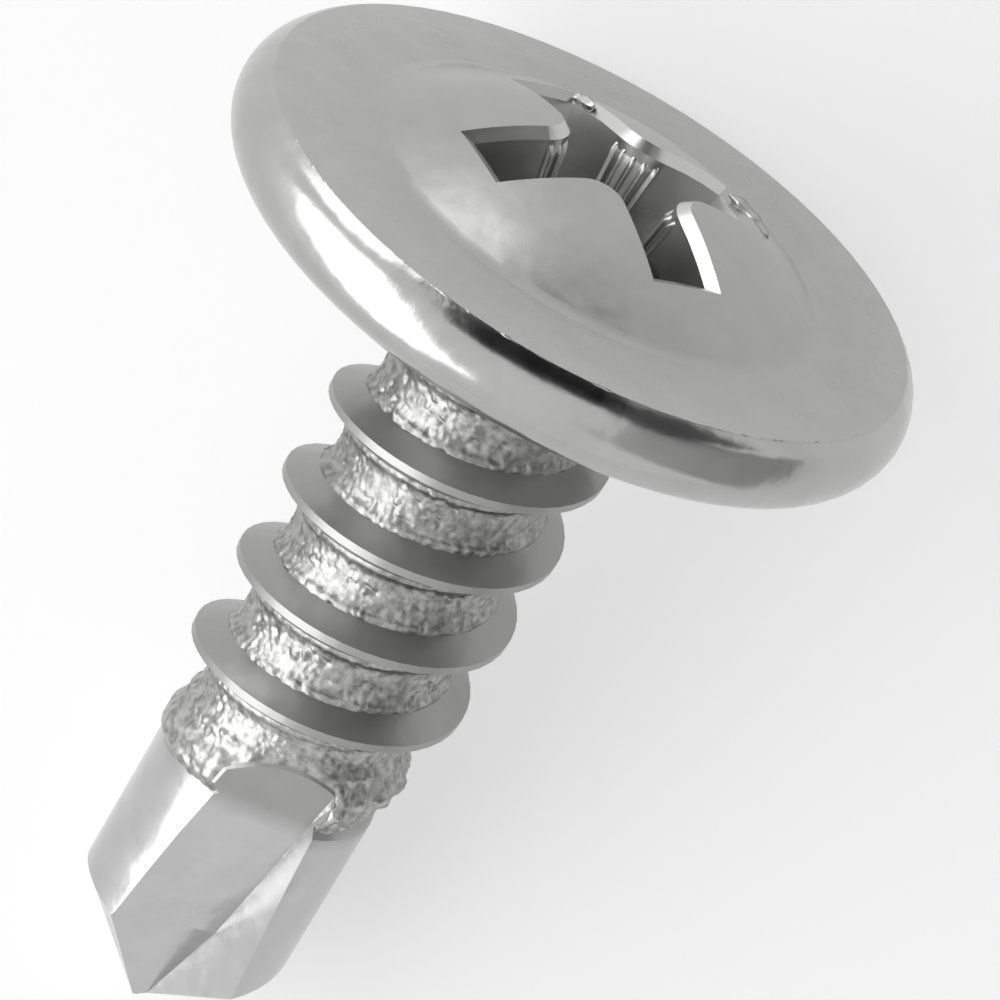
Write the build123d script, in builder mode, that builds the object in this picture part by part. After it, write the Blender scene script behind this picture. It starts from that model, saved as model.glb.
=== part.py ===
"""Wafer-head self-drilling screw, 4.2 x 13 mm, with a cross recess size 2.

The screw is one forged, rolled and plated piece of steel, so it is one solid. It is built upright on
its own axis, with the bearing face of the head at z = 0, the head above it and the drill point below.
Then it is laid on its side, as it comes to rest on a bench: on the rim of the head and on both edges
of one flute of the drill point. Lengths are in millimetres, angles in degrees, and azimuths are
measured about the screw's axis.
"""

import os
from math import cos, hypot, radians, sin, tan

from build123d import *

# head
head_diameter = 10.3
head_height = 2.24            # bearing face to the top of the dome
rim_radius = 0.68             # the rim of the flange is one round of this radius
rim_edge_angle = 57           # where that round ends, at a crisp edge on top, above its own middle
flange_top_rise = 0.05        # the flange climbs this much from that edge to the dome
dome_diameter = 6.72
dome_foot_radius = 0.45       # soft crease where the dome meets the flange
neck_flare = 0.6              # the conical neck is this much wider than the core at the head
neck_length = 0.45

# cross recess
recess_span = 4.4             # across the wings, where they meet the dome
recess_span_height = 1.84     # height of that meeting above the bearing face
recess_floor_height = 0.1
recess_wing_width = 0.94
recess_floor_wing_width = 0.72
recess_flare = 26.5           # slope of the wing ends
recess_corner_radius = 0.6
recess_floor_corner_radius = 0.3
recess_pilot_depth = 0.45     # conical bottom below the wings
recess_pilot_share = 0.75     # width of that cone, as a share of the span of the floor
recess_overcut = 0.1          # the cutting tool stands this far out of the dome
recess_azimuth = -48          # of one wing
recess_mouth_bevel = 0.14     # on the edge that the punch leaves round the mouth

# thread, right-handed, with straight flanks
thread_diameter = 4.0
root_diameter = 2.95
thread_pitch = 1.44
thread_phase = 2.13           # distance under the head of the crest at azimuth 0
ridge_foot_width = 0.84
ridge_crest_width = 0.12
ridge_foot_sink = 0.08        # the foot of the ridge lies this far inside the core
buried_crest_sink = 0.03      # and so does its crest, at both ends of the thread
ridge_sections = 8            # along each half turn

# Turns are counted down the thread from that crest. The ridge rises at the neck. Its last turn is
# low and blunt, then it fades into the drill point.
rise_start = -0.95
rise_end = -0.4
last_turn_start = 3.55
last_turn_run = 0.45
last_turn_diameter = 3.42
last_turn_foot_width = 1.3
last_turn_crest_width = 0.3
fade_start = 4.4
fade_run = 0.55

# drill point
screw_length = 13.0           # bearing face to the tip
tip_blunting = 0.1            # a sharp tip would be this much longer
drill_diameter = 3.3
drill_start = 8.65            # distance under the head where the full drill diameter begins
drill_shoulder_run = 0.3
point_half_angle = 50
lip_relief = 10               # the ground face of each land falls away behind its lip
lip_azimuth = -38
land_divide_azimuth = 11      # middle of the land behind that lip
apex_setback = 0.3            # the grinding cone starts this far back along the lip

# Each flute is a valley through three sections: distance under the head, distance of the floor from
# the axis, azimuth of the floor, and the directions of its heel wall and its rake wall.
flute_sections = [
    (7.4, 1.76, -52, -168, -47.5),
    (11.2, 0.81, -47.5, -149, -39.5),
    (13.3, 0.08, -60, -142, -35),
]
flute_reach = 3.4             # the walls run out past the body

# resting pose
rest_azimuth = 94.96          # of the side that faces the bench
rest_tilt = 17.8              # of the axis, with the tip lower than the head

head_radius = head_diameter / 2
dome_radius = dome_diameter / 2
rim_middle = head_radius - rim_radius
rim_edge = (
    rim_middle + rim_radius * cos(radians(rim_edge_angle)),
    rim_radius + rim_radius * sin(radians(rim_edge_angle)),
)
dome_foot_height = rim_edge[1] + flange_top_rise
thread_radius = thread_diameter / 2
last_turn_radius = last_turn_diameter / 2
root_radius = root_diameter / 2
ridge_foot_radius = root_radius - ridge_foot_sink
buried_crest_radius = root_radius - buried_crest_sink
drill_radius = drill_diameter / 2
tool_size = 2 * drill_diameter    # of what cuts the drill point, well outside the body


def polar(radius, azimuth):
    """The point of a horizontal plane at this distance from the axis and this azimuth."""
    return (radius * cos(radians(azimuth)), radius * sin(radians(azimuth)))


def shifted(point, reach, azimuth):
    """The point that lies at this reach and direction from another one."""
    step = polar(reach, azimuth)
    return (point[0] + step[0], point[1] + step[1])


def eased(value, start, run):
    """How far a value has come through a run, as a smooth step from 0 to 1."""
    step = min(max((value - start) / run, 0), 1)
    return step * step * (3 - 2 * step)


def blend(first, last, share):
    """A value between the first and the last one."""
    return first + (last - first) * share


# blank: head, neck, core of the thread and the round body of the drill point
with BuildPart() as blank:
    with BuildSketch(Plane.XZ) as half_section:
        with BuildLine():
            dome_rise = head_height - dome_foot_height
            dome_sphere_radius = (dome_radius**2 + dome_rise**2) / (2 * dome_rise)
            RadiusArc((0, head_height), (dome_radius, dome_foot_height), dome_sphere_radius)
            Line((dome_radius, dome_foot_height), rim_edge)
            ThreePointArc(rim_edge, (head_radius, rim_radius), (rim_middle, 0))
            Polyline(
                (rim_middle, 0),
                (root_radius + neck_flare, 0),
                (root_radius, -neck_length),
                (root_radius, drill_shoulder_run - drill_start),
                (drill_radius, -drill_start),
                (drill_radius, -screw_length),
                (0, -screw_length),
                (0, head_height),
            )
        make_face()
        dome_foot = half_section.vertices().sort_by(
            lambda v: hypot(v.X - dome_radius, v.Y - dome_foot_height)
        )[0]
        fillet(dome_foot, dome_foot_radius)
    revolve(axis=Axis.Z)


def ridge_piece(first_turn, turns):
    """A piece of the thread: a loft through trapezoidal sections that climb the helix."""
    with BuildPart() as piece:
        for section in range(ridge_sections + 1):
            turn = first_turn + turns * section / ridge_sections
            rise = eased(turn, rise_start, rise_end - rise_start)
            last = eased(turn, last_turn_start, last_turn_run)
            fade = eased(turn, fade_start, fade_run)
            crest = blend(thread_radius, last_turn_radius, last)
            crest = blend(buried_crest_radius, crest, rise)
            crest = blend(crest, buried_crest_radius, fade)
            crest_half = blend(ridge_crest_width, last_turn_crest_width, last) / 2
            foot_half = blend(ridge_foot_width, last_turn_foot_width, last) / 2
            outward = polar(1, -360 * turn) + (0,)
            backward = polar(1, -360 * turn - 90) + (0,)
            centre = (0, 0, -thread_phase - turn * thread_pitch)
            with BuildSketch(Plane(origin=centre, x_dir=outward, z_dir=backward)):
                with BuildLine():
                    Polyline(
                        (ridge_foot_radius, -foot_half),
                        (crest, -crest_half),
                        (crest, crest_half),
                        (ridge_foot_radius, foot_half),
                        close=True,
                    )
                make_face()
        loft()
    return piece.part


# cross recess: tapered wings above a conical bottom
with BuildPart() as recess:
    mouth_height = head_height + recess_overcut
    flare = 2 * tan(radians(recess_flare))
    mouth_span = recess_span + (mouth_height - recess_span_height) * flare
    floor_span = recess_span - (recess_span_height - recess_floor_height) * flare
    for height, span, wing_width, corner_radius in (
        (recess_floor_height, floor_span, recess_floor_wing_width, recess_floor_corner_radius),
        (mouth_height, mouth_span, recess_wing_width, recess_corner_radius),
    ):
        with BuildSketch(Plane.XY.offset(height)) as cross:
            Rectangle(span, wing_width, rotation=recess_azimuth)
            Rectangle(wing_width, span, rotation=recess_azimuth)
            inner_corners = cross.vertices().sort_by(lambda v: hypot(v.X, v.Y))[:4]
            fillet(inner_corners, corner_radius)
    loft(ruled=True)
    with Locations((0, 0, recess_floor_height)):
        Cone(
            0,
            floor_span / 2 * recess_pilot_share,
            recess_pilot_depth,
            align=(Align.CENTER, Align.CENTER, Align.MAX),
        )

# one flute of the drill point
with BuildPart() as flute:
    for depth, floor_radius, floor_azimuth, heel_direction, rake_direction in flute_sections:
        floor = polar(floor_radius, floor_azimuth)
        with BuildSketch(Plane.XY.offset(-depth)):
            with BuildLine():
                Polyline(
                    floor,
                    shifted(floor, flute_reach, rake_direction),
                    shifted(floor, flute_reach, heel_direction),
                    close=True,
                )
            make_face()
    loft(ruled=True)

# what is ground off one land at the tip: all that lies outside a cone tipped about the lip
with BuildPart() as land_waste:
    with Locations(Location((0, 0, -screw_length), (0, 0, land_divide_azimuth))):
        Box(tool_size, 2 * tool_size, tool_size, align=(Align.MIN, Align.CENTER, Align.CENTER))
    apex = polar(-apex_setback * sin(radians(point_half_angle)), lip_azimuth)
    apex_depth = screw_length + tip_blunting + apex_setback * cos(radians(point_half_angle))
    with Locations(Location(apex + (-apex_depth,), polar(1, lip_azimuth) + (0,), lip_relief)):
        Cone(
            0,
            tool_size * tan(radians(point_half_angle)),
            tool_size,
            align=(Align.CENTER, Align.CENTER, Align.MIN),
            mode=Mode.SUBTRACT,
        )

# the thread is joined on in half turns
half_turns = round(2 * (fade_start + fade_run - rise_start))
turns_per_piece = (fade_start + fade_run - rise_start) / half_turns
with BuildPart() as upright:
    add(blank.part)
    for piece in range(half_turns):
        add(ridge_piece(rise_start + piece * turns_per_piece, turns_per_piece))
    add(recess.part, mode=Mode.SUBTRACT)
    mouth = upright.edges().filter_by(lambda e: e.center().Z > recess_span_height - recess_overcut)
    chamfer(mouth, recess_mouth_bevel)
    for half_turn in (0, 180):
        add(flute.part, rotation=(0, 0, half_turn), mode=Mode.SUBTRACT)
        add(land_waste.part, rotation=(0, 0, half_turn), mode=Mode.SUBTRACT)

# the screw lies with its head towards -X, and the origin is under the middle of its box
lying = upright.part.rotate(Axis.Z, 180 - rest_azimuth).rotate(Axis.Y, rest_tilt - 90)
box = lying.bounding_box()
with BuildPart() as screw:
    with Locations((-box.center().X, -box.center().Y, -box.min.Z)):
        add(lying)

os.makedirs("parts", exist_ok=True)
screw.part.label = "screw"
export_step(screw.part, "parts/screw.step")
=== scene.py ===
import bpy
import numpy as np
from mathutils import Matrix, Vector


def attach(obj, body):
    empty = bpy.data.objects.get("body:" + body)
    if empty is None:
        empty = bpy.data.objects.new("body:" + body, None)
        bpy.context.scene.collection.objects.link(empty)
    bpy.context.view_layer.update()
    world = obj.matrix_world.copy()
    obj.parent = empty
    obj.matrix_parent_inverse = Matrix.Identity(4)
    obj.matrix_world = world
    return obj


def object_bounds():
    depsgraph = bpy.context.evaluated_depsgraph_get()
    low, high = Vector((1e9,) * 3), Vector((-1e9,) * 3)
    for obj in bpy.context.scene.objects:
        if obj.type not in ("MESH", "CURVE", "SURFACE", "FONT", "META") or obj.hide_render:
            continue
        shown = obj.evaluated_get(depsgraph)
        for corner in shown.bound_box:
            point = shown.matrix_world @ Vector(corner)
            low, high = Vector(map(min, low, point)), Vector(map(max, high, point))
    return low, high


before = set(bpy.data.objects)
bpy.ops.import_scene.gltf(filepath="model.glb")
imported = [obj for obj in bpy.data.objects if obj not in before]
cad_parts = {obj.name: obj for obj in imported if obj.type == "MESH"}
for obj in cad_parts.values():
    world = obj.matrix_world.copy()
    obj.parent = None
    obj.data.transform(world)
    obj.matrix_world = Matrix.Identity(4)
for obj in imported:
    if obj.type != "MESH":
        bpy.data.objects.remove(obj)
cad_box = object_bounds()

# ---- the screw -----------------------------------------------------------------------------------
# A wafer-head self-drilling screw of one piece of carbon steel: the head is cold forged, the thread
# rolled and the drill point pinched between dies. It is then case hardened and electroplated with
# clear zinc. The CAD node is all of it, and keeps its mesh.

metre = 1000                   # in millimetres, the unit of every size of the screw
rest_azimuth = 94.96           # of the side that faces the bench, degrees
rest_tilt = 17.8               # of the axis, with the tip lower than the head
level, steep = np.cos(np.radians(rest_tilt)), np.sin(np.radians(rest_tilt))
towards_tip = (level, 0.0, -steep)

# The rim of the head is one round, up to a crisp edge on top. The round lies on the bench, and the
# lowest place of that edge is the end of the screw at -X. Both give the place of the head.
rim_middle, rim_radius = 4.47, 0.68
rim_edge_angle = np.radians(57)
edge_ring = rim_middle + rim_radius * np.cos(rim_edge_angle)       # radius of the edge
edge_height = rim_radius + rim_radius * np.sin(rim_edge_angle)     # above the bearing face
half_length = metre * cad_box[1][0]                                # of the box along the bench
head_seat = np.array([                                             # middle of the bearing face
    edge_ring * steep + edge_height * level - half_length,
    0.0,
    rim_middle * level + rim_radius * (1 - steep),
])


def linear(colour):
    """An sRGB hex colour as the linear RGBA that a shader takes."""
    share = np.array([int(colour[i : i + 2], 16) for i in (1, 3, 5)]) / 255
    share = np.where(share > 0.04045, ((share + 0.055) / 1.055) ** 2.4, share / 12.92)
    return (*share.tolist(), 1.0)


def add_node(tree, kind, inputs, **settings):
    """Add a shader node with its settings, and link or set its inputs."""
    node = tree.nodes.new("ShaderNode" + kind)
    for name, value in settings.items():
        setattr(node, name, value)
    for name, value in inputs.items():
        if isinstance(value, bpy.types.NodeSocket):
            tree.links.new(value, node.inputs[name])
        else:
            node.inputs[name].default_value = value
    return node


def on_the_screw(tree):
    """The shaded place, its vector from the head's seat, and the part of that towards the tip."""
    place = add_node(tree, "TexCoord", {}).outputs["Object"]
    seat = tuple(head_seat / metre)
    from_seat = add_node(tree, "VectorMath", {0: place, 1: seat}, operation="SUBTRACT")
    from_seat = from_seat.outputs["Vector"]
    along = add_node(tree, "VectorMath", {0: from_seat, 1: towards_tip}, operation="DOT_PRODUCT")
    return place, from_seat, along.outputs["Value"]


noise_low, noise_high = 0.36, 0.64     # between them lies most of Blender's noise
gloss_swing = 0.12                     # of the roughness over that noise's whole range


def plating(name, stops, blotch, contrast, grain, grain_height, dent, dent_height):
    """Zinc plating on steel: greys and a gloss along the screw, blotches, dents and a grain.

    The stops are a distance in mm from the bearing face towards the tip, the grey there and the
    roughness there, and between them both run straight. The blotches shift the grey by the
    contrast. blotch, dent and grain are lengths in mm, and so are the heights.
    """
    material = bpy.data.materials.new(name)
    material.use_nodes = True
    tree = material.node_tree
    shader = tree.nodes["Principled BSDF"]
    shader.inputs["Metallic"].default_value = 1.0
    place, _, along = on_the_screw(tree)
    first, last = stops[0][0] / metre, stops[-1][0] / metre
    share = add_node(tree, "MapRange", {"Value": along, "From Min": first, "From Max": last})
    ramps = []
    for column in (1, 2):
        ramp = add_node(tree, "ValToRGB", {"Fac": share.outputs["Result"]})
        for stop in stops[1:-1]:
            ramp.color_ramp.elements.new((stop[0] / metre - first) / (last - first))
        for element, stop in zip(ramp.color_ramp.elements, stops):
            element.color = linear(stop[1]) if column == 1 else (stop[2], stop[2], stop[2], 1)
        ramps.append(ramp.outputs["Color"])
    grey, gloss = ramps

    blotches = add_node(
        tree, "TexNoise", {"Vector": place, "Scale": metre / blotch, "Detail": 4.0}
    ).outputs["Fac"]
    shade = add_node(
        tree,
        "MapRange",
        {
            "Value": blotches,
            "From Min": noise_low,
            "From Max": noise_high,
            "To Min": 1 - contrast,
            "To Max": 1 + contrast,
        },
    )
    colour = add_node(
        tree, "VectorMath", {0: grey, "Scale": shade.outputs["Result"]}, operation="SCALE"
    )
    tree.links.new(colour.outputs["Vector"], shader.inputs["Base Color"])
    mottle = add_node(
        tree, "Math", {0: blotches, 1: gloss_swing, 2: -gloss_swing / 2}, operation="MULTIPLY_ADD"
    )
    roughness = add_node(tree, "Math", {0: gloss, 1: mottle.outputs["Value"]}, operation="ADD")
    tree.links.new(roughness.outputs["Value"], shader.inputs["Roughness"])

    bump = None
    for size, height, detail in ((dent, dent_height, 1.0), (grain, grain_height, 2.0)):
        noise = add_node(
            tree, "TexNoise", {"Vector": place, "Scale": metre / size, "Detail": detail}
        )
        under = {"Normal": bump.outputs["Normal"]} if bump else {}
        bump = add_node(
            tree,
            "Bump",
            {"Height": noise.outputs["Fac"], "Distance": height / metre, "Strength": 1.0, **under},
        )
    tree.links.new(bump.outputs["Normal"], shader.inputs["Normal"])
    return material


# Satin zinc over forged steel. The head top is soft and even. The rim and the drill point, which
# the dies polish, give sharper reflections, and their grey is lighter. The thread's grey is darker,
# a painted shade. The grain is drawn coarse enough to show.
satin_zinc = plating(
    "zinc_plated_forged_steel",
    stops=[
        (-2.3, "#a9a9a8", 0.34),       # top of the dome
        (-1.29, "#a7a7a6", 0.32),      # outer end of the flange top
        (-1.24, "#b2b2b1", 0.2),       # just under the crisp edge of the rim
        (-0.1, "#aeaead", 0.2),        # end of the rim
        # painted shade: the grey from the neck to the end of the thread is darker
        (0.3, "#9e9e9d", 0.36),        # neck
        (8.5, "#9e9e9d", 0.36),        # end of the thread
        (8.9, "#bababa", 0.2),         # shoulder of the drill point
        (13.1, "#bababa", 0.2),        # tip
    ],
    blotch=0.55,
    contrast=0.03,
    grain=0.11,
    grain_height=0.0018,
    dent=0.55,
    dent_height=0.02,
)

# The walls of the recess are painted lighter than the rest of the head: a painted light in the
# shaded recess. They are what lies above the bearing face, within the reach of the wings, and
# doesn't face up as the dome does.
wing_reach = 2.36              # from the axis
dome_facing = -0.85            # the dome's normal, along the axis towards the tip, is below this
painted_light_wall_grey = "#c8c8c7"


def painted_light_walls(tree):
    """1 on the walls of the recess, which are painted lighter, and 0 elsewhere: the product of
    three tests.
    """
    _, from_seat, along = on_the_screw(tree)
    sideways = add_node(
        tree, "VectorMath", {0: from_seat, 1: towards_tip}, operation="CROSS_PRODUCT"
    )
    reach = add_node(tree, "VectorMath", {0: sideways.outputs["Vector"]}, operation="LENGTH")
    normal = add_node(tree, "NewGeometry", {}).outputs["Normal"]
    faces = add_node(tree, "VectorMath", {0: normal, 1: towards_tip}, operation="DOT_PRODUCT")
    product = 1.0
    for value, limit, test in (
        (reach.outputs["Value"], wing_reach / metre, "LESS_THAN"),
        (along, 0.0, "LESS_THAN"),
        (faces.outputs["Value"], dome_facing, "GREATER_THAN"),
    ):
        passed = add_node(tree, "Math", {0: value, 1: limit}, operation=test).outputs["Value"]
        product = add_node(tree, "Math", {0: passed, 1: product}, operation="MULTIPLY")
        product = product.outputs["Value"]
    return product


satin_tree = satin_zinc.node_tree
satin_colour = satin_tree.nodes["Principled BSDF"].inputs["Base Color"]
factor, plain, painted_lighter, result = 0, 6, 7, 2     # sockets of a Mix node for colours
# painted light: the recess walls take the lighter grey
painted_light_mix = add_node(
    satin_tree,
    "Mix",
    {
        factor: painted_light_walls(satin_tree),
        plain: satin_colour.links[0].from_socket,
        painted_lighter: linear(painted_light_wall_grey),
    },
    data_type="RGBA",
)
satin_tree.links.new(painted_light_mix.outputs[result], satin_colour)

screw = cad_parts["screw"]
screw.data.materials.clear()
screw.data.materials.append(satin_zinc)

# ---- scaly core ----------------------------------------------------------------------------------
# Between the ridges and over the low last turn, the rolling dies don't touch the wire. There it
# keeps the pitted, flaky skin of drawing and rolling, under the same zinc.

core_radius = 1.475
thread_phase = 2.13            # distance under the head of the crest at azimuth 0
thread_pitch = 1.44
ridge_half_foot = 0.42         # at foot_radius
ridge_half_crest = 0.06
foot_radius = 1.395
crest_radius = 2.0
buried_crest_radius = core_radius - 0.03
last_half_foot = 0.65
last_half_crest = 0.15
last_crest_radius = 1.71
last_start, last_run = 3.55, 0.45      # turns, counted down the thread from that crest
fade_start, fade_run = 4.4, 0.55

# A flute is a valley that runs straight between two sections: depth, distance of the floor from the
# axis, and the azimuth of the floor, of its rake wall and of its heel wall.
flute_sections = ((7.4, 1.76, -52, -47.5, -168), (11.2, 0.81, -47.5, -39.5, -149))
flute_reach = 3.4              # of the walls from the floor

skin_rows, skin_columns = 310, 290
skin_start, skin_end = 0.32, 9.35      # depths
skin_lift = 0.03               # over the core and the last turn
least_lift = 0.004             # at the bottom of a pit
fillet_height, fillet_run = 0.09, 0.07     # at the foot of a ridge
flake_size, flake_height = 0.17, 0.012
flake_mean = 0.8               # of the absolute value of a noise with a spread of 1
fine_size, fine_height = 0.08, 0.004
pit_size, pit_depth = 0.24, 0.022
pit_rarity, deepest_pit = 1.1, 1.5     # in spreads of its noise
lump_size, lump_height = 0.42, 0.02
calm_size = 0.9
calm_mean, calm_spread = 0.62, 0.38    # share of the relief that is left
least_calm, most_calm = 0.15, 1.2
last_share = 0.3               # of the change to the last turn, past which the skin covers it
blunt_end, blunt_run = 4.25, 0.2       # turns over which its lumps go
quiet_relief = 0.4             # share of the relief that is left where it isn't blunt
flute_clearance = 0.04
sunk_radius, shell = 1.2, 0.08         # of both ends, inside the steel


def lay_down(radius, azimuth, depth):
    """Points of the upright screw, in mm and degrees, as metres on the bench.

    The azimuth turns with the screw until its resting side is down, the axis tips over until the
    tip is lower than the head, and the bearing face comes to its place. Depth counts from that
    face towards the tip.
    """
    turned = np.radians(azimuth + 180 - rest_azimuth)
    tip = np.radians(rest_tilt - 90)
    x, y, z = radius * np.cos(turned), radius * np.sin(turned), -depth
    laid = np.stack(
        [np.cos(tip) * x + np.sin(tip) * z, y, np.cos(tip) * z - np.sin(tip) * x], axis=-1
    )
    return (laid + head_seat) / metre


def closed_piece(name, points, material, capped=False):
    """A closed skin over a grid of points whose columns run round and meet.

    The rows run round too, or the piece is capped: its first and last row each close on their
    middle. The faces are turned outwards, by the sign of the volume that they close.
    """
    rows, columns = points.shape[:2]
    index = np.arange(rows * columns).reshape(rows, columns)
    across, down = np.roll(index, -1, 1), np.roll(index, -1, 0)
    quads = np.stack([index, across, np.roll(down, -1, 1), down], axis=-1)
    places = points.reshape(-1, 3)
    fans = []
    if capped:
        quads = quads[:-1]
        middles = rows * columns + np.arange(2)
        fans.append(np.stack([across[0], index[0], np.full(columns, middles[0])], axis=-1))
        fans.append(np.stack([index[-1], across[-1], np.full(columns, middles[1])], axis=-1))
        places = np.concatenate([places, points[[0, -1]].mean(axis=1)])
    quads = quads.reshape(-1, 4)
    corner = places[quads] - places.mean(axis=0)
    half_area = np.cross(corner[:, 2] - corner[:, 0], corner[:, 3] - corner[:, 1])
    step = -1 if (half_area * corner.mean(axis=1)).sum() < 0 else 1
    faces = [face[::step] for group in (quads, *fans) for face in group.tolist()]
    mesh = bpy.data.meshes.new(name)
    mesh.from_pydata(places.tolist(), [], faces)
    mesh.polygons.foreach_set("use_smooth", np.ones(len(faces), bool))
    mesh.materials.append(material)
    piece = bpy.data.objects.new(name, mesh)
    bpy.context.scene.collection.objects.link(piece)
    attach(piece, "root")
    return piece


def grains(shape, spacing, size, seed):
    """Random bumps of one size on a grid that repeats, scaled to a spread of 1.

    White noise keeps its waves near that size, in mm, and loses the longer and the shorter ones.
    """
    noise = np.random.default_rng(seed).standard_normal(shape)
    across = np.fft.fftfreq(shape[0], spacing[0])[:, None]
    along = np.fft.fftfreq(shape[1], spacing[1])[None, :]
    waves = np.hypot(across, along) * size
    field = np.fft.ifft2(np.fft.fft2(noise) * waves * np.exp(-(waves**2))).real
    return field / field.std()


def eased(value, start, run):
    """How far a value has come through a run, as a smooth step from 0 to 1."""
    step = np.clip((value - start) / run, 0, 1)
    return step * step * (3 - 2 * step)


def flute_wedge(section, half_turn):
    """The floor and the far ends of the rake and heel wall at one section, as complex numbers."""
    _, floor_radius, *azimuths = section
    floor, rake, heel = np.exp(1j * np.radians(np.array(azimuths) + half_turn))
    floor = floor_radius * floor
    return floor, floor + flute_reach * rake, floor + flute_reach * heel


def cross(a, b):
    """The cross product of two complex numbers as plane vectors."""
    return (np.conj(a) * b).imag


def flute_entry(azimuth, depth, radius, half_turn):
    """Distance from the axis at which a ray of this azimuth enters a flute, or else the radius.

    The flute is a wedge between two walls that meet on its floor. A point is in it where it lies on
    the open side of both walls, and the ray enters where it has crossed the farther one.
    """
    upper, lower = flute_sections
    share = (depth - upper[0]) / (lower[0] - upper[0])
    floor, rake, heel = (
        first + (last - first) * share
        for first, last in zip(flute_wedge(upper, half_turn), flute_wedge(lower, half_turn))
    )
    rake, heel = rake - floor, heel - floor
    ray = np.exp(1j * np.radians(azimuth))
    whole = cross(rake, heel)
    slope_a, start_a = cross(ray, heel) / whole, cross(floor, heel) / whole
    slope_b, start_b = cross(rake, ray) / whole, cross(rake, floor) / whole
    inside = (radius * slope_a > start_a) & (radius * slope_b > start_b) & (depth > upper[0])
    entry_a = np.where(slope_a > 0, start_a / slope_a, 0)
    entry_b = np.where(slope_b > 0, start_b / slope_b, 0)
    return np.where(inside, np.maximum(entry_a, entry_b), radius)


def core_skin():
    """The skin of the core: radius over azimuth and depth.

    The radius is the core's, plus a small fillet that dies away from the foot of each ridge, plus
    flakes and fine grains. A flake is the absolute value of a noise, so creases part it from the
    next. In calm patches both are shallow. Sparse pits go deeper, but stay above the core.
    Over the last turn the skin follows that ridge's own trapezoid instead, with lumps where it is
    blunt. It stays clear of the flutes, and both ends sink into the steel.
    """
    shape = (skin_rows, skin_columns)
    azimuth, depth = np.meshgrid(
        np.arange(skin_rows) * 360 / skin_rows,
        np.linspace(skin_start, skin_end, skin_columns),
        indexing="ij",
    )
    spacing = (2 * np.pi * core_radius / skin_rows, (skin_end - skin_start) / skin_columns)
    turn = (depth - thread_phase) / thread_pitch
    crest_turn = np.round(turn + azimuth / 360) - azimuth / 360
    from_crest = np.abs(turn - crest_turn) * thread_pitch
    last = eased(crest_turn, last_start, last_run)
    fade = eased(crest_turn, fade_start, fade_run)
    half_foot = ridge_half_foot + (last_half_foot - ridge_half_foot) * last
    half_crest = ridge_half_crest + (last_half_crest - ridge_half_crest) * last
    crest = crest_radius + (last_crest_radius - crest_radius) * last
    crest = crest + (buried_crest_radius - crest) * fade
    slope = (crest - foot_radius) / (half_foot - half_crest)
    ridge = np.minimum(foot_radius + (half_foot - from_crest) * slope, crest)
    from_foot = np.maximum(from_crest - half_foot + (core_radius - foot_radius) / slope, 0)

    flakes = np.abs(grains(shape, spacing, flake_size, 1)) - flake_mean
    fine = grains(shape, spacing, fine_size, 2)
    lumps = grains(shape, spacing, lump_size, 3)
    calm = calm_mean + calm_spread * grains(shape, spacing, calm_size, 4)
    calm = np.clip(calm, least_calm, most_calm)
    pits = np.clip(grains(shape, spacing, pit_size, 10) - pit_rarity, 0, deepest_pit)
    relief = calm * (flake_height * flakes + fine_height * fine) - pit_depth * pits
    fillet = fillet_height * np.exp(-from_foot / fillet_run)
    radius = core_radius + skin_lift + fillet + relief
    radius = np.maximum(radius, core_radius + least_lift)
    blunt = 1 - eased(crest_turn, blunt_end, blunt_run)
    strength = quiet_relief + (1 - quiet_relief) * blunt
    over_last = ridge + skin_lift + blunt * lump_height * lumps + strength * relief
    radius = np.where(last > last_share, np.maximum(radius, over_last), radius)
    for half_turn in (0, 180):
        entry = flute_entry(azimuth, depth, radius + flute_clearance, half_turn)
        radius = np.minimum(radius, entry - flute_clearance)
    radius[:, [0, -1]] = sunk_radius
    inside = np.full((skin_rows, 2), sunk_radius - shell)
    inner = lay_down(inside, azimuth[:, [-1, 0]], depth[:, [-1, 0]])
    return np.concatenate([lay_down(radius, azimuth, depth), inner], axis=1)


# The scale lies under zinc, so it shines: each grain mirrors the light or the dark on its own side.
scaly_zinc = plating(
    "zinc_plated_scaly_steel",
    # painted shade: the grey of the scale is darkened, and runs lighter from the head towards the
    # tip
    stops=[(0, "#8a8a89", 0.33), (9.4, "#a4a4a3", 0.33)],
    blotch=0.13,
    contrast=0.32,
    grain=0.06,
    grain_height=0.003,
    dent=0.3,
    dent_height=0.01,
)
closed_piece("scaly_core", core_skin(), scaly_zinc)

# ---- ribs in the recess --------------------------------------------------------------------------
# The punch that forges the cross recess leaves fine upright ribs on the four rounded corners
# between its wings. They are part of the same steel.

recess_azimuth = -48           # of one wing, degrees
recess_floor, recess_mouth = 0.1, 2.34     # heights above the bearing face between which it tapers
floor_half_wing, mouth_half_wing = 0.36, 0.47
floor_corner, mouth_corner = 0.3, 0.6          # radii between the wings
rib_rows, rib_columns = 97, 30
ribs_start, ribs_end = 0.3, 1.94               # heights
arc_start, arc_middle, arc_end = 182, 225, 268     # of a corner, degrees
rib_pitch = 0.157              # along the corner, at rib_pitch_radius
rib_pitch_radius = 0.48
rib_height = 0.055
rib_sheet, rib_sink = 0.018, 0.012     # of the sheet that joins the ribs: its thickness and sink
border_arc, border_height = 6, 0.1     # degrees and mm over which the sheet sinks at its borders
rib_shell = 0.06


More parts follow.
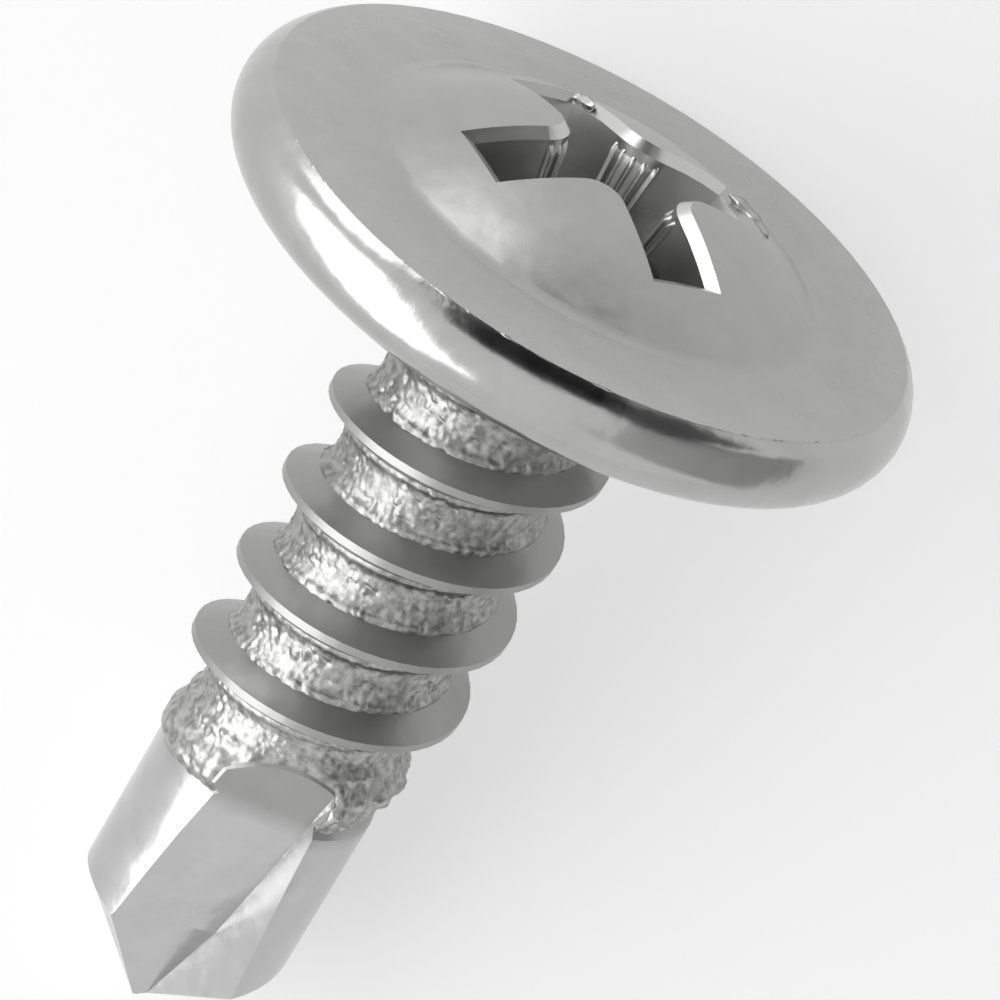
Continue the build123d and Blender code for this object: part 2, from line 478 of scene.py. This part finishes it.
def ribbed_corner(quarter):
    """A closed ribbed skin on one rounded corner of the recess.

    The corner is an arc whose radius and centre run straight from the floor to the mouth. The skin
    stands off it by the positive half of a cosine along the arc, sinks at all its borders, and
    comes back inside the steel.
    """
    along, up = np.meshgrid(
        np.linspace(arc_start, arc_end, rib_rows),
        np.linspace(ribs_start, ribs_end, rib_columns),
        indexing="ij",
    )
    share = (up - recess_floor) / (recess_mouth - recess_floor)
    half_wing = floor_half_wing + (mouth_half_wing - floor_half_wing) * share
    corner = floor_corner + (mouth_corner - floor_corner) * share
    wave = 2 * np.pi * rib_pitch_radius * np.radians(along - arc_middle) / rib_pitch
    ribs = rib_height * np.clip(np.cos(wave), 0, 1)
    per_mm = border_arc / border_height
    edge = np.minimum.reduce(
        [along - arc_start, arc_end - along, (up - ribs_start) * per_mm, (ribs_end - up) * per_mm]
    )
    outer = corner + (ribs + rib_sheet) * np.clip(edge / border_arc, 0, 1) - rib_sink
    skins = []
    for distance in (outer, corner - rib_shell):
        x = half_wing + corner + distance * np.cos(np.radians(along))
        y = half_wing + corner + distance * np.sin(np.radians(along))
        azimuth = np.degrees(np.arctan2(y, x)) + recess_azimuth + 90 * quarter
        skins.append(lay_down(np.hypot(x, y), azimuth, -up))
    return np.concatenate([skins[0], skins[1][:, ::-1]], axis=1)


for quarter in range(4):
    closed_piece(f"recess_ribs_{quarter + 1}", ribbed_corner(quarter), satin_zinc)

# ---- burr on the rim -----------------------------------------------------------------------------
# The forging dies part along the crisp edge on top of the rim. They leave a low, ragged burr of the
# same steel there, thick and thin by turns.

burr_rows, burr_columns = 1500, 10
burr_sink = 0.006              # of its middle under the edge
burr_radius = 0.008            # of its section
least_burr, most_burr = 0.002, 0.026
long_waver, short_waver = (0.006, 0.5), (0.003, 0.15)      # spread and size
thick_side = -85               # azimuth where it is thickest
thick_share = 0.3              # added to the cosine from that side, so it is thick past half way


def burr():
    """A closed ring round the edge, thicker on one side, whose section wavers by two grains."""
    azimuth, round_it = np.meshgrid(
        np.arange(burr_rows) * (360 / burr_rows),
        np.arange(burr_columns) * (360 / burr_columns),
        indexing="ij",
    )
    spacing = (2 * np.pi * edge_ring / burr_rows, 1)       # a ring has no spacing across it
    ragged = sum(
        spread * grains((burr_rows, 1), spacing, size, seed)
        for (spread, size), seed in ((long_waver, 5), (short_waver, 6))
    )
    near_side = np.clip(thick_share + np.cos(np.radians(azimuth - thick_side)), 0, 1)
    section = np.clip((burr_radius + ragged) * near_side, least_burr, most_burr)
    radius = edge_ring - burr_sink + section * np.cos(np.radians(round_it))
    depth = burr_sink - edge_height + section * np.sin(np.radians(round_it))
    return lay_down(radius, azimuth, depth)


closed_piece("rim_burr", burr(), satin_zinc)

# ---- torn burrs ----------------------------------------------------------------------------------
# Where the punch leaves the recess it tears up a small ridge of steel on the dome: one at the side
# of a wing, and one round the end of the wing before it.

head_height = 2.24             # of the top of the dome above the bearing face
dome_sphere = 6.477            # radius of the sphere that the dome is part of
bead_rows, bead_columns = 60, 12
bead_start, bead_end = 0.01, 0.99      # shares of the path, short of the points where it is nothing
waver_size, waver = 0.3, 0.12          # along the bead, and as a share of its section
least_waver, most_waver = 0.7, 1.3
waver_spacing = (0.015, 1)     # of the rows, about, and none across them


def bead(wing, start, end, bow, sink, width, height, seed):
    """A closed bead that lies on the dome, along a parabola from its start to its end.

    Both are places in mm: along the middle line of a wing from the axis, and aside from that line.
    The bow is how far the parabola stands out to the left of the straight line between them, and
    the sink how far the path lies under the dome. The section is a flat-sided ridge above the path
    and its mirror image below it, tapers to both ends and wavers.
    """
    share = np.linspace(bead_start, bead_end, bead_rows)
    straight = complex(*end) - complex(*start)
    bulge = 4j * bow * share * (1 - share) * straight / abs(straight)
    path = complex(*start) + straight * share + bulge
    dome_height = head_height - dome_sphere + np.sqrt(dome_sphere**2 - np.abs(path) ** 2)
    spine = lay_down(np.abs(path), wing + np.degrees(np.angle(path)), sink - dome_height)
    away = spine - lay_down(0.0, 0.0, dome_sphere - head_height)
    away /= np.linalg.norm(away, axis=1, keepdims=True)
    side = np.cross(np.gradient(spine, axis=0), away)
    side /= np.linalg.norm(side, axis=1, keepdims=True)
    wavering = 1 + waver * grains((bead_rows, 1), waver_spacing, waver_size, seed)
    wavering = np.clip(wavering, least_waver, most_waver)[:, 0]
    size = (np.sqrt(4 * share * (1 - share)) * wavering / metre)[:, None, None]
    turn = np.radians(np.arange(bead_columns) * 360 / bead_columns)[None, :, None]
    across, up = np.cos(turn) * np.abs(np.cos(turn)), np.sin(turn) * np.abs(np.sin(turn))
    section = width / 2 * across * side[:, None] + height * up * away[:, None]
    return spine[:, None] + size * section


recess_burr_1 = bead(
    wing=recess_azimuth + 180,
    start=(2.24, -0.49),
    end=(1.7, -0.46),
    bow=0.0,
    sink=0.05,
    width=0.2,
    height=0.1,
    seed=7,
)
closed_piece("recess_burr_1", recess_burr_1, satin_zinc, capped=True)
recess_burr_2 = bead(
    wing=recess_azimuth + 90,
    start=(2.15, 0.3),
    end=(2.48, -0.5),
    bow=0.1,
    sink=0.02,
    width=0.24,
    height=0.1,
    seed=8,
)
closed_piece("recess_burr_2", recess_burr_2, satin_zinc, capped=True)

# ---- floor, backdrop and light -------------------------------------------------------------------
# A pale sheet of board under the screw, which is white to the eye and in the metal, with the soft
# shadow of the screw on it. Sizes and places from here on are in metres.

board_reach = 0.6              # from the screw to each side
board_colour = "#d2d2d2"
board_glow = 0.5               # as the eye or the metal sees it
paper_roughness = 0.9          # of board and paper alike
screw_middle = (0, 0, 0.005)


def seen_or_mirrored(tree):
    """1 for the rays by which a surface is seen, directly or in metal or glass, else 0."""
    path = add_node(tree, "LightPath", {})
    both = add_node(
        tree,
        "Math",
        {0: path.outputs["Is Camera Ray"], 1: path.outputs["Is Glossy Ray"]},
        operation="ADD",
    )
    return add_node(
        tree,
        "Math",
        {0: both.outputs["Value"], 1: path.outputs["Is Transmission Ray"]},
        operation="ADD",
        use_clamp=True,
    ).outputs["Value"]


def sheet(name, half_width, half_height, paper):
    """A flat rectangle of four corners about its middle, as a mesh."""
    x, y = half_width, half_height
    mesh = bpy.data.meshes.new(name)
    mesh.from_pydata([(-x, -y, 0), (x, -y, 0), (x, y, 0), (-x, y, 0)], [], [(0, 1, 2, 3)])
    mesh.materials.append(paper)
    return mesh


board = bpy.data.materials.new("pale_board")
board.use_nodes = True
glow = add_node(
    board.node_tree,
    "Math",
    {0: seen_or_mirrored(board.node_tree), 1: board_glow},
    operation="MULTIPLY",
)
matt = board.node_tree.nodes["Principled BSDF"]
matt.inputs["Base Color"].default_value = linear(board_colour)
matt.inputs["Roughness"].default_value = paper_roughness
matt.inputs["Specular IOR Level"].default_value = 0.1
matt.inputs["Emission Color"].default_value = (1, 1, 1, 1)
board.node_tree.links.new(glow.outputs["Value"], matt.inputs["Emission Strength"])
floor = bpy.data.objects.new("floor", sheet("floor", board_reach, board_reach, board))
bpy.context.scene.collection.objects.link(floor)

# The room is a white tent. It is white to the eye and in the metal, and lights the rest a little.
tent_light = 0.34
world = bpy.data.worlds.new("tent")
bpy.context.scene.world = world
world.use_nodes = True
strength = add_node(
    world.node_tree,
    "MapRange",
    {"Value": seen_or_mirrored(world.node_tree), "To Min": tent_light, "To Max": 1.0},
)
tent = world.node_tree.nodes["Background"]
tent.inputs["Color"].default_value = (1, 1, 1, 1)
world.node_tree.links.new(strength.outputs["Result"], tent.inputs["Strength"])


def facing(name, data, place, target):
    """Put a lamp or a card at a place and turn its face to a target."""
    piece = bpy.data.objects.new(name, data)
    piece.matrix_world = (
        Matrix.Translation(place)
        @ (Vector(target) - Vector(place)).to_track_quat("-Z", "Y").to_matrix().to_4x4()
    )
    bpy.context.scene.collection.objects.link(piece)
    return piece


def lamp(name, width, height, watts, place, target):
    """A rectangular area lamp."""
    light = bpy.data.lights.new(name, "AREA")
    light.shape = "RECTANGLE"
    light.size, light.size_y = width, height
    light.energy = watts
    facing(name, light, place, target)


# A wide softbox on one side: its mirror image is the white patch on the rim and on the core. A
# small lamp near the floor puts a soft crescent on the near left of the dome.
lamp("softbox", 0.42, 0.22, 0.64, place=(0.075, -0.19, 0.125), target=screw_middle)
lamp("strip", 0.045, 0.03, 0.0085, place=(-0.06, -0.034, 0.017), target=(-0.006, 0, 0.006))


def card(name, colour, width, height, place):
    """A sheet of matt paper that stands round the screw and shows in the metal only."""
    paper = bpy.data.materials.new(name + "_paper")
    paper.use_nodes = True
    inputs = paper.node_tree.nodes["Principled BSDF"].inputs
    inputs["Base Color"].default_value = linear(colour)
    inputs["Roughness"].default_value = paper_roughness
    inputs["Specular IOR Level"].default_value = 0.0
    stand = facing(name, sheet(name, width / 2, height / 2, paper), place, screw_middle)
    stand.visible_camera = False


# A black card on the head's side: its mirror image is the dark line under the edge of the flange.
# The line fades into a grey card beside it. A pale card on the side away from the lamp keeps that
# side of every round a little darker than the other.
card("black_card", "#101010", 0.115, 0.155, (-0.125, -0.001, 0.103))
card("grey_card", "#6a6a6a", 0.09, 0.13, (-0.108, 0.088, 0.095))
card("pale_card", "#e6e6e6", 0.24, 0.225, (0.01, 0.17, 0.1))

# ---- camera --------------------------------------------------------------------------------------
# A long lens, held close above the bench on the side of the head, and turned almost upside down, so
# that the head is at the top of the frame.

camera_azimuth, camera_elevation = -151.98, 80.49      # from the place it looks at, degrees
camera_roll = -178.96
camera_distance = 0.07863
looked_at = Vector((-0.00198, 0.00079, 0.0047))
focal_length, sensor_width = 206.035, 36               # mm

lens = bpy.data.cameras.new("camera")
lens.lens = focal_length
lens.sensor_width = sensor_width
lens.clip_start = 0.005
lens.clip_end = 10
camera = bpy.data.objects.new("camera", lens)
bpy.context.scene.collection.objects.link(camera)
camera.matrix_world = (
    Matrix.Translation(looked_at)
    @ Matrix.Rotation(np.radians(camera_azimuth + 90), 4, "Z")
    @ Matrix.Rotation(np.radians(90 - camera_elevation), 4, "X")
    @ Matrix.Rotation(np.radians(camera_roll), 4, "Z")
    @ Matrix.Translation((0, 0, camera_distance))
)
bpy.context.scene.camera = camera
bpy.context.scene.view_settings.view_transform = "Standard"
